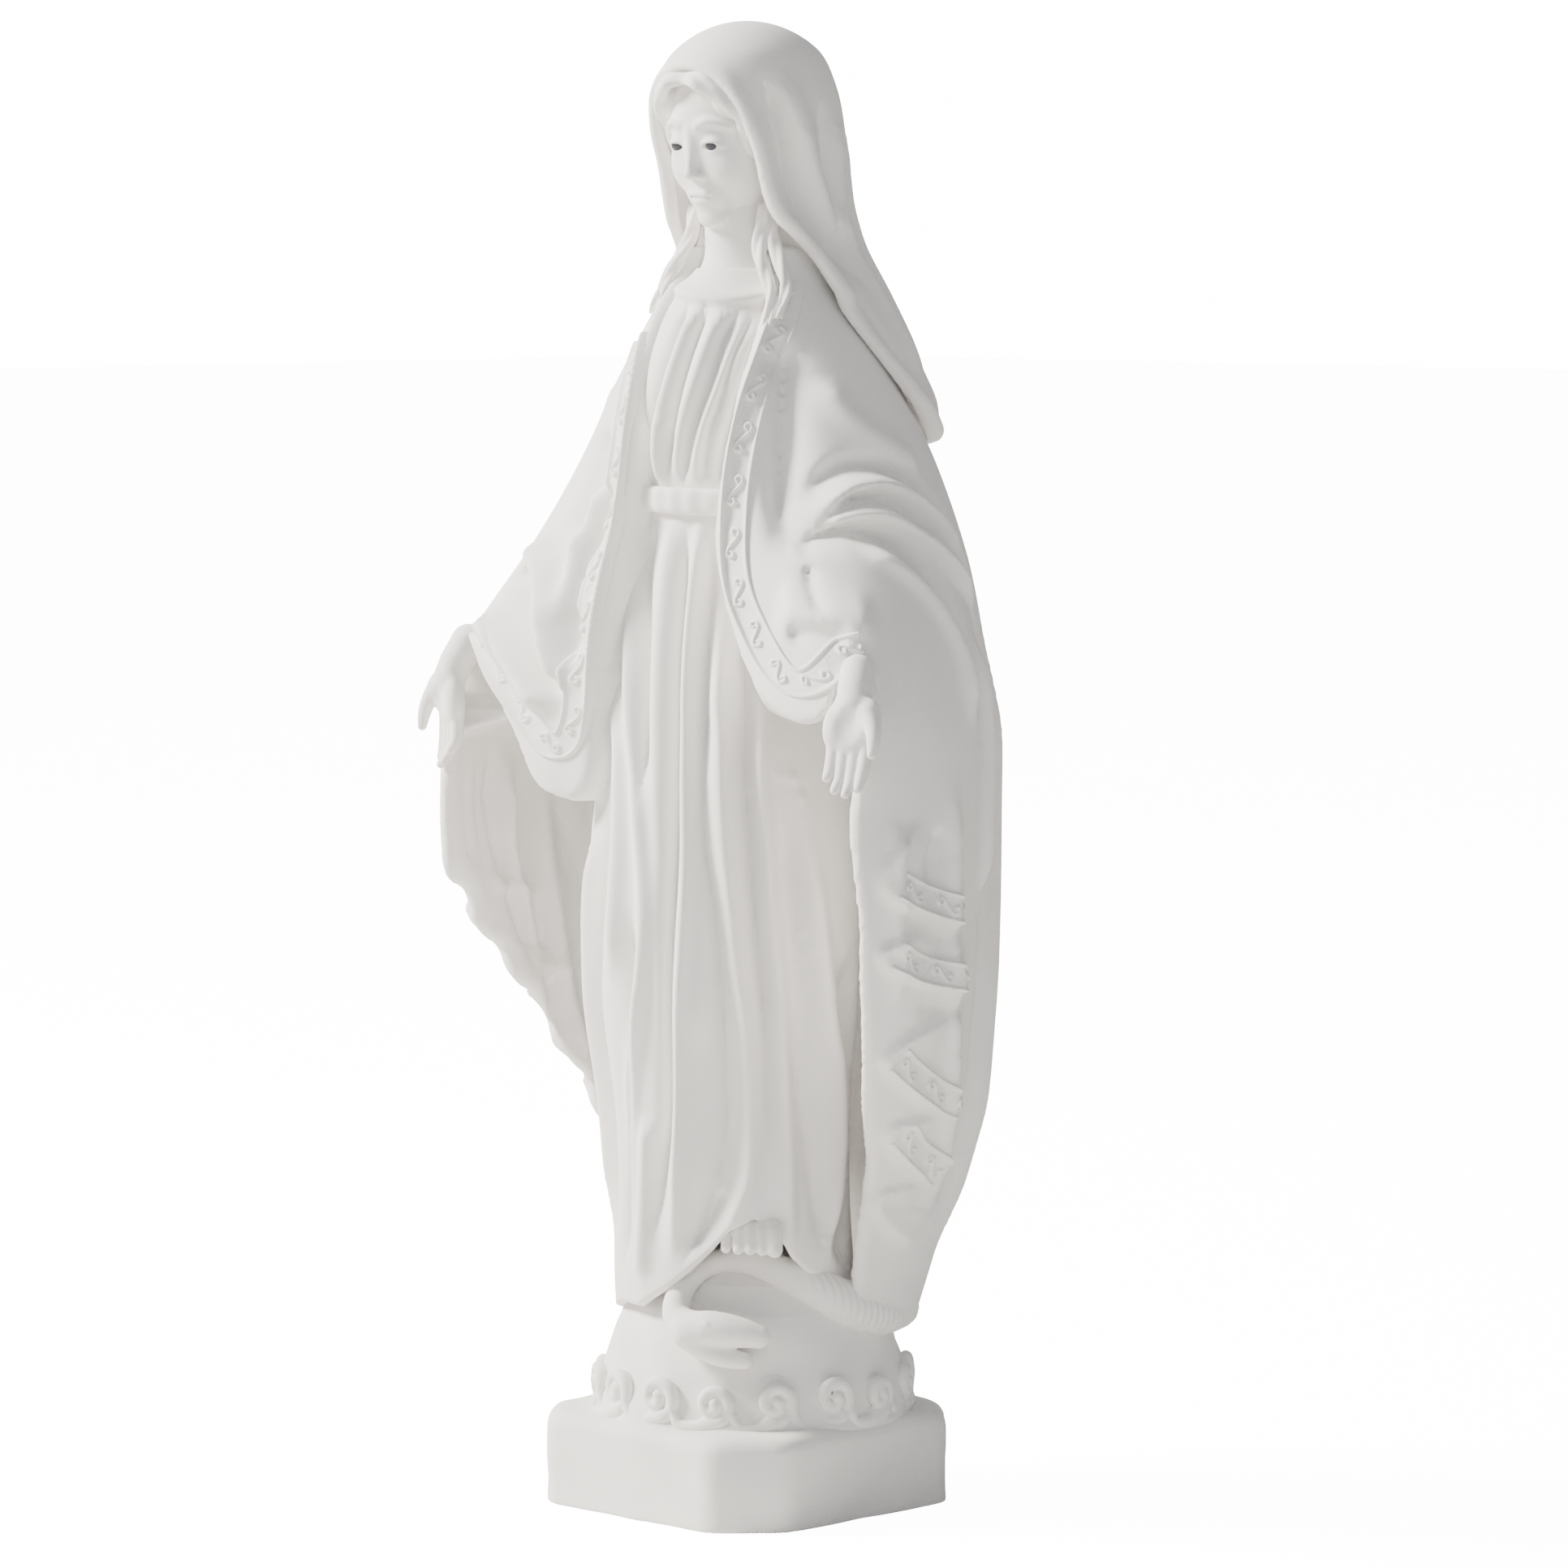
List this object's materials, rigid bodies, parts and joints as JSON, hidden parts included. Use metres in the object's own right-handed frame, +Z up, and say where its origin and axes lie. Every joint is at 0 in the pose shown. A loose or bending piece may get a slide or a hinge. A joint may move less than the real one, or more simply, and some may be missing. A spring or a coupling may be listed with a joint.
{
  "type": "madonna statue",
  "caption": "Standing cloaked madonna figure with open lowered hands, on a mound with a serpent underfoot, on a square plinth with cut corners.",
  "frame": {"origin": "middle of the plinth's underside, where the statue stands", "axes": "+Z up, -Y the way the figure faces, +X the figure's own left"},
  "size_m": [0.0984, 0.0547, 0.22],
  "materials": {
    "cast_white": "matte",
    "felt": "matte",
    "steel_rod": "satin",
    "eye_paint": "satin"
  },
  "bodies": {
    "root": {"plinth": "cast_white", "base_pad": "felt", "mound": "cast_white", "cloud_scrolls": "cast_white", "serpent": "cast_white", "core_rod": "steel_rod", "left_foot": "cast_white", "gown_skirt": "cast_white", "gown_bodice": "cast_white", "belt": "cast_white", "neck": "cast_white", "head": "cast_white", "eyes": "eye_paint", "hair": "cast_white", "veil": "cast_white", "cloak": "cast_white", "cloak_border_left": "cast_white", "cloak_border_right": "cast_white", "hem_border_left": "cast_white", "hem_border_right": "cast_white", "hand_left": "cast_white", "hand_right": "cast_white"}
  },
  "joints": []
}
